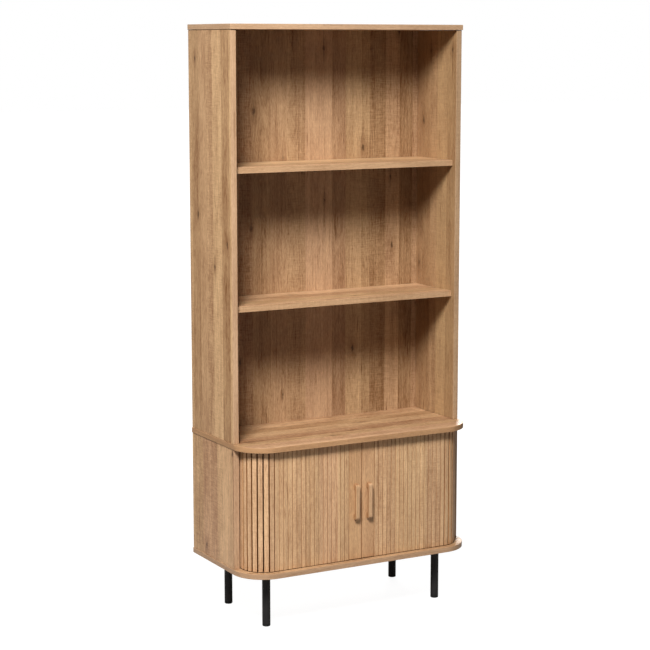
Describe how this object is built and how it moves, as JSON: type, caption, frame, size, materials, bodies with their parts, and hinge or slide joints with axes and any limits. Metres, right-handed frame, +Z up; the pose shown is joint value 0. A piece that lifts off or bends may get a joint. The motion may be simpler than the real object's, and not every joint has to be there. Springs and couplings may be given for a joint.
{
  "type": "bookcase with doors",
  "caption": "Tall bookcase: open upper cabinet with shelves on a lower cupboard with rounded front corners, sliding tambour doors and round metal legs.",
  "frame": {"origin": "on the floor, under the middle of the bounding box", "axes": "+Z up, the open front and the doors face -Y, +X to the viewer's right when looking at the front"},
  "size_m": [0.8, 0.39, 1.809],
  "materials": {
    "oak_board": "oak-look melamine board, satin",
    "oak_slats": "oak-look slats on cloth, satin",
    "handle_wood": "lacquered wood, satin",
    "black_steel": "black powder coat, satin",
    "black_plastic": "black moulded plastic"
  },
  "bodies": {
    "cabinet": {"top_board": "oak_board", "upper_side_left": "oak_board", "upper_side_right": "oak_board", "upper_back": "oak_board", "shelf_upper": "oak_board", "shelf_lower": "oak_board", "middle_board": "oak_board", "lower_side_left": "oak_board", "lower_side_right": "oak_board", "bottom_board": "oak_board", "lower_back": "oak_board", "liner_left": "oak_board", "liner_right": "oak_board", "curtain_left_6": "oak_slats", "curtain_left_corner": "oak_slats", "curtain_right_6": "oak_slats", "curtain_right_corner": "oak_slats", "leg_plate_front_left": "black_steel", "leg_plate_front_right": "black_steel", "leg_plate_rear_left": "black_steel", "leg_plate_rear_right": "black_steel", "leg_front_left": "black_steel", "leg_front_right": "black_steel", "leg_rear_left": "black_steel", "leg_rear_right": "black_steel", "foot_front_left": "black_plastic", "foot_front_right": "black_plastic", "foot_rear_left": "black_plastic", "foot_rear_right": "black_plastic"},
    "door_left": {"stile_left": "oak_slats", "handle_left": "handle_wood"},
    "section_left_1": {"curtain_left_1": "oak_slats"},
    "section_left_2": {"curtain_left_2": "oak_slats"},
    "section_left_3": {"curtain_left_3": "oak_slats"},
    "section_left_4": {"curtain_left_4": "oak_slats"},
    "section_left_5": {"curtain_left_5": "oak_slats"},
    "tail_left": {"curtain_left_tail": "oak_slats"},
    "door_right": {"stile_right": "oak_slats", "handle_right": "handle_wood"},
    "section_right_1": {"curtain_right_1": "oak_slats"},
    "section_right_2": {"curtain_right_2": "oak_slats"},
    "section_right_3": {"curtain_right_3": "oak_slats"},
    "section_right_4": {"curtain_right_4": "oak_slats"},
    "section_right_5": {"curtain_right_5": "oak_slats"},
    "tail_right": {"curtain_right_tail": "oak_slats"}
  },
  "joints": [
    {"name": "door_left_slide", "type": "slide", "parent": "cabinet", "child": "door_left", "axis": [-1, 0, 0], "range_m": [0, 0.25], "deforming": ["curtain_left_6"]},
    {"name": "section_left_1_slide", "type": "slide", "parent": "cabinet", "child": "section_left_1", "axis": [-1, 0, 0], "range_m": [0, 0.205], "deforming": ["curtain_left_1"]},
    {"name": "section_left_2_slide", "type": "slide", "parent": "cabinet", "child": "section_left_2", "axis": [-1, 0, 0], "range_m": [0, 0.16], "deforming": ["curtain_left_2"]},
    {"name": "section_left_3_slide", "type": "slide", "parent": "cabinet", "child": "section_left_3", "axis": [-1, 0, 0], "range_m": [0, 0.115], "deforming": ["curtain_left_3"]},
    {"name": "section_left_4_slide", "type": "slide", "parent": "cabinet", "child": "section_left_4", "axis": [-1, 0, 0], "range_m": [0, 0.07], "deforming": ["curtain_left_4"]},
    {"name": "section_left_5_slide", "type": "slide", "parent": "cabinet", "child": "section_left_5", "axis": [-1, 0, 0], "range_m": [0, 0.025], "deforming": ["curtain_left_5"]},
    {"name": "tail_left_slide", "type": "slide", "parent": "cabinet", "child": "tail_left", "axis": [0, 1, 0], "range_m": [0, 0.25]},
    {"name": "door_right_slide", "type": "slide", "parent": "cabinet", "child": "door_right", "axis": [1, 0, 0], "range_m": [0, 0.25], "deforming": ["curtain_right_6"]},
    {"name": "section_right_1_slide", "type": "slide", "parent": "cabinet", "child": "section_right_1", "axis": [1, 0, 0], "range_m": [0, 0.205], "deforming": ["curtain_right_1"]},
    {"name": "section_right_2_slide", "type": "slide", "parent": "cabinet", "child": "section_right_2", "axis": [1, 0, 0], "range_m": [0, 0.16], "deforming": ["curtain_right_2"]},
    {"name": "section_right_3_slide", "type": "slide", "parent": "cabinet", "child": "section_right_3", "axis": [1, 0, 0], "range_m": [0, 0.115], "deforming": ["curtain_right_3"]},
    {"name": "section_right_4_slide", "type": "slide", "parent": "cabinet", "child": "section_right_4", "axis": [1, 0, 0], "range_m": [0, 0.07], "deforming": ["curtain_right_4"]},
    {"name": "section_right_5_slide", "type": "slide", "parent": "cabinet", "child": "section_right_5", "axis": [1, 0, 0], "range_m": [0, 0.025], "deforming": ["curtain_right_5"]},
    {"name": "tail_right_slide", "type": "slide", "parent": "cabinet", "child": "tail_right", "axis": [0, 1, 0], "range_m": [0, 0.25]}
  ],
  "couplings": [
    {"joint": "section_left_1_slide", "follows": "door_left_slide", "ratio": 0.82},
    {"joint": "section_left_2_slide", "follows": "door_left_slide", "ratio": 0.64},
    {"joint": "section_left_3_slide", "follows": "door_left_slide", "ratio": 0.46},
    {"joint": "section_left_4_slide", "follows": "door_left_slide", "ratio": 0.28},
    {"joint": "section_left_5_slide", "follows": "door_left_slide", "ratio": 0.1},
    {"joint": "tail_left_slide", "follows": "door_left_slide", "ratio": 1},
    {"joint": "section_right_1_slide", "follows": "door_right_slide", "ratio": 0.82},
    {"joint": "section_right_2_slide", "follows": "door_right_slide", "ratio": 0.64},
    {"joint": "section_right_3_slide", "follows": "door_right_slide", "ratio": 0.46},
    {"joint": "section_right_4_slide", "follows": "door_right_slide", "ratio": 0.28},
    {"joint": "section_right_5_slide", "follows": "door_right_slide", "ratio": 0.1},
    {"joint": "tail_right_slide", "follows": "door_right_slide", "ratio": 1}
  ]
}
